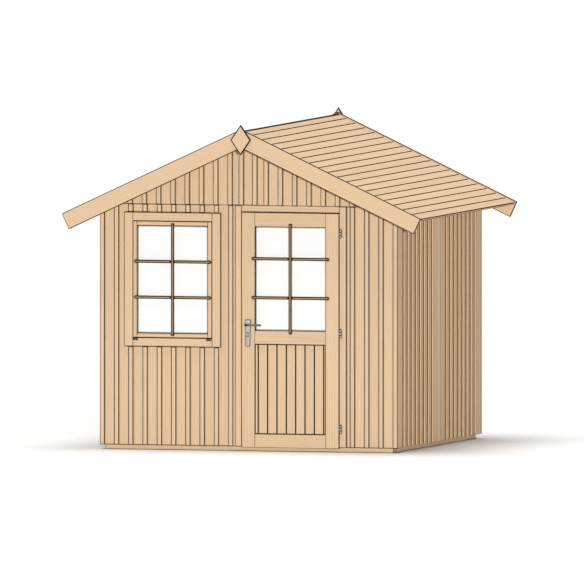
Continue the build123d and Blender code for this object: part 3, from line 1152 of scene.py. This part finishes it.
@dataclass
class Door:
    """Door frame, leaf and fittings."""

    shop: Workshop
    panel_pitch: float = 73 * MM
    panel_shift: float = 4.5 * MM
    panel_ease: float = 5.5 * MM
    bar_shares: tuple[float, float] = (0.316, 0.692)
    bar_shift: float = 3 * MM
    bar_lap: float = 24 * MM
    ease: float = 3.5 * MM
    frame_ease: float = 1 * MM
    jamb_ease: float = 5 * MM
    head_band: float = 5 * MM
    knuckle_ease: float = 1 * MM
    knuckle_band: float = 3.5 * MM
    knuckle_darkening: float = 0.3
    plate_ease: float = 5 * MM
    cylinder_rise: float = 88 * MM
    cylinder_proud: float = 4 * MM
    guard_width: float = 20 * MM
    guard_length: float = 40 * MM
    guard_depth: float = 2.5 * MM
    guard_ease: float = 1.8 * MM
    guard_darkening: float = 0.55
    keyway_width: float = 3.2 * MM
    keyway_length: float = 10 * MM
    keyway_depth: float = 0.6 * MM
    keyway_ease: float = 0.3 * MM
    lever_ease: float = 3.5 * MM
    lever_darkening: float = 0.7
    root_band: float = 16 * MM
    tip_band: float = 10 * MM

    def build(self) -> None:
        """Build and dress the door and its frame."""
        self.frame()
        self.leaf()
        # The ends of the knuckles are painted dark, as the shade of the gaps between them.
        for node, name, body in (
            ("door_hinges", "leaf_knuckles", Body.DOOR),
            ("jamb_hinges", "jamb_knuckles", Body.SHED),
        ):
            heights = sorted({round(corner.z, LEVEL_DIGITS) for corner in self.shop.corners(node)})
            bands = tuple(Band(2, height, self.knuckle_band) for height in heights)
            self.steel(node, name, body, self.knuckle_darkening, Easing(self.knuckle_ease, bands=bands))
        self.steel("lock_plates", "lock_faces", Body.DOOR, 0.0, Easing(self.plate_ease))
        self.cylinders()
        # The lever's root and tip are painted dark the same way.
        low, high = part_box("door_lever")
        bands = Band(0, low.x, self.root_band), Band(0, high.x, self.tip_band)
        easing = Easing(self.lever_ease, bands=bands)
        self.steel("door_lever", "lever_grips", Body.HANDLE, self.lever_darkening, easing)

    def steel(self, node: str, name: str, body: Body, steel_darkening: float, easing: Easing) -> None:
        """Dress a fitting in steel.

        Args:
            node: Node of the fitting.
            name: Name of the piece.
            body: Body that it rides on.
            steel_darkening: How dark its flat faces are painted, as a share.
            easing: How its edges are eased.
        """
        fitting = Pile(self.shop, Slot.STEEL, steel_darkening)
        fitting.add_node(node, Grain.UPRIGHT, easing)
        fitting.fit(name, node, body=body, smooth=True)

    def frame(self) -> None:
        """Dress the jambs, the head and the stops."""
        # The head's ends are painted dark as the shade of its joints, and faces towards +X are painted in
        # shade.
        ends = tuple(corner.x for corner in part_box("door_head"))
        joints = tuple(Band(0, end, self.head_band) for end in ends)
        frame = Pile(self.shop, lee=FULL_SHADE)
        frame.add_node("door_jambs", Grain.UPRIGHT, Easing(self.jamb_ease, closed=ends))
        frame.add_node("door_head", Grain.ACROSS, Easing(self.frame_ease, bands=joints))
        frame.add_node("door_stops", Grain.UPRIGHT, Easing(self.frame_ease))
        frame.fit("door_surround", "door_jambs", "door_head", "door_stops")

    def leaf(self) -> None:
        """Build the leaf's timbers, boarded panel, pane and bars."""
        timbers = {"door_stiles": Grain.UPRIGHT, "door_rails": Grain.ACROSS}
        # The faces of the stiles and rails towards +X are painted in shade.
        self.shop.fit_timbers("door_timbers", timbers, self.ease, body=Body.DOOR, lee=FULL_SHADE)
        low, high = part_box("door_panel")
        joint = (low.x + high.x) / 2 + self.panel_pitch / 2 + self.panel_shift
        panel = Pile(self.shop)
        panel.add_row(upright_row(low, high, joint, self.panel_pitch), Easing(self.panel_ease))
        panel.fit("door_panel_boards", "door_panel", body=Body.DOOR)
        bars = Bars(self.shop, end_lap=self.bar_lap)
        bars.glaze("door", "door_stiles", Body.DOOR, self.bar_shares, self.bar_shift)

    def cylinders(self) -> None:
        """Add a guard with a keyway to the lock cylinder on both faces of the leaf."""
        low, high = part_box("lock_plates")
        guards = Pile(self.shop, Slot.STEEL, self.guard_darkening)
        # The keyway is a thin strip painted dark, standing for the shade in the slot.
        keyway_shades = Pile(self.shop, Slot.STEEL, FULL_SHADE)
        guard = Strip(self.shop, self.guard_width, self.guard_depth, self.guard_ease)
        keyway = Strip(self.shop, self.keyway_width, self.keyway_depth, self.keyway_ease)
        for face, out in ((low.y, -1), (high.y, 1)):
            middle = Vector(((low.x + high.x) / 2, face, low.z + self.cylinder_rise))
            base = middle - Vector((0, out * self.cylinder_proud, 0))
            guard.stand(guards, base, self.guard_length, 2, out)
            keyway.stand(keyway_shades, middle, self.keyway_length, 2, out)
        guards.fit("cylinder_guards", body=Body.DOOR, smooth=True)
        keyway_shades.fit("keyway_shades", body=Body.DOOR, smooth=True)


@dataclass(frozen=True)
class Sun:
    """Soft distant light: the way to it, its brightness on white that faces it, and the angle it spans."""

    name: str
    towards: tuple[float, float, float]
    level: float
    softness_deg: float

    def build(self) -> None:
        """Add the light."""
        data = bpy.data.lights.new(self.name, "SUN")
        data.energy = self.level * math.pi
        data.angle = math.radians(self.softness_deg)
        light = place_object(self.name, data)
        light.rotation_euler = Vector(self.towards).to_track_quat("Z", "Y").to_euler()


@dataclass
class Studio:
    """Camera, floor and light."""

    azimuth_deg: float = 16.1
    elevation_deg: float = 2.96
    frame_width: float = 4.38
    aim_right: float = 0.0175
    aim_up: float = 1.1382
    distance: float = 20.0
    clip_end: float = 320.0
    floor_half: float = 80.0
    ambient: float = 0.19
    front_light: Sun = Sun("front_light", (0.39, -0.92, 0.03), 0.74, 3)
    top_light: Sun = Sun("top_light", (-0.08, -0.02, 0.996), 0.805, 40)

    def build(self) -> None:
        """Set up the studio."""
        self.camera()
        self.floor()
        self.world()
        self.front_light.build()
        self.top_light.build()
        bpy.context.scene.view_settings.view_transform = "Standard"

    def camera(self) -> None:
        """Look at the shed as the drawing does, with parallel rays."""
        azimuth = math.radians(self.azimuth_deg)
        elevation = math.radians(self.elevation_deg)
        right = Vector((math.cos(azimuth), math.sin(azimuth), 0))
        level = math.cos(elevation)
        back = Vector((math.sin(azimuth) * level, -math.cos(azimuth) * level, math.sin(elevation)))
        up = back.cross(right)
        data = bpy.data.cameras.new("drawing_view")
        data.type = "ORTHO"
        data.ortho_scale = self.frame_width
        data.clip_end = self.clip_end
        camera = place_object("drawing_view", data)
        aim = right * self.aim_right + up * self.aim_up
        turn = Matrix((right, up, back)).transposed().to_4x4()
        camera.matrix_world = Matrix.Translation(aim + back * self.distance) @ turn
        bpy.context.scene.camera = camera

    def floor(self) -> None:
        """Lay the floor."""
        half = self.floor_half
        corners = [(-half, -half, 0), (half, -half, 0), (half, half, 0), (-half, half, 0)]
        mesh = bpy.data.meshes.new("studio_floor")
        mesh.from_pydata(corners, [], [(0, 1, 2, 3)])
        mesh.materials.append(PaleFloor().build())
        place_object("studio_floor", mesh)

    def world(self) -> None:
        """Make the white surroundings, dimmer as light than as background."""
        world = bpy.data.worlds.new("studio")
        bpy.context.scene.world = world
        world.use_nodes = True
        world.node_tree.nodes.clear()
        add = partial(add_node, world.node_tree, SHADER)
        strength = add("MapRange", {"Value": seen_directly(add), "To Min": self.ambient, "To Max": 1.0})
        light = add("Background", {"Color": (1, 1, 1, 1), "Strength": strength})
        add("OutputWorld", {"Surface": light})


def main() -> None:
    """Build the shed's pieces in order, then the studio."""
    logging.basicConfig(level=logging.INFO, format="%(name)s: %(message)s")
    shop = Workshop()
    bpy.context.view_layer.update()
    for assembly in (Base, Walls, Framing, Roof, Window, Door):
        assembly(shop).build()
    Studio().build()


if __name__ == "__main__":
    main()
